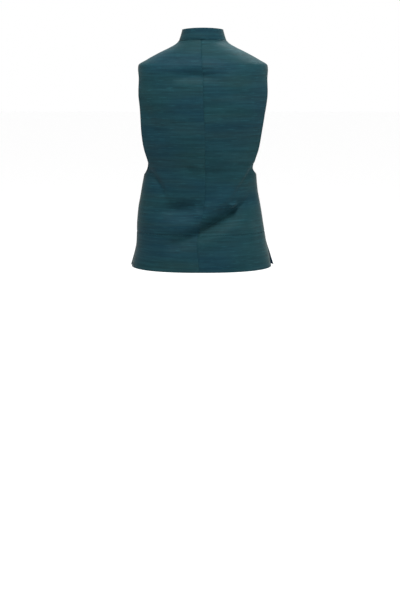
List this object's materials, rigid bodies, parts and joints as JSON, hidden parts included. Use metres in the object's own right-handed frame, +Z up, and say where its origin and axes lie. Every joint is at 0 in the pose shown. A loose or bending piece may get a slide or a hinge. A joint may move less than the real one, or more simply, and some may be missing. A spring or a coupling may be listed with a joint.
{
  "type": "nehru jacket",
  "caption": "Sleeveless buttoned jacket with a band collar, side vents and soft folds, in the hollow form it is worn in.",
  "frame": {"origin": "the middle of the neck base, where the wearer's neck and shoulders hold the jacket", "axes": "+Z up along the body, the wearer faces -Y and the wearer's left is +X"},
  "size_m": [0.4245, 0.284, 0.6868],
  "materials": {
    "face_cloth": "slubbed raw silk, softly lustrous",
    "button": "polished dark horn"
  },
  "bodies": {
    "root": {"back_left": "face_cloth", "back_right": "face_cloth", "front_left": "face_cloth", "front_right": "face_cloth", "collar": "face_cloth", "button_1": "button", "button_2": "button", "button_3": "button", "button_4": "button", "button_5": "button"}
  },
  "joints": []
}
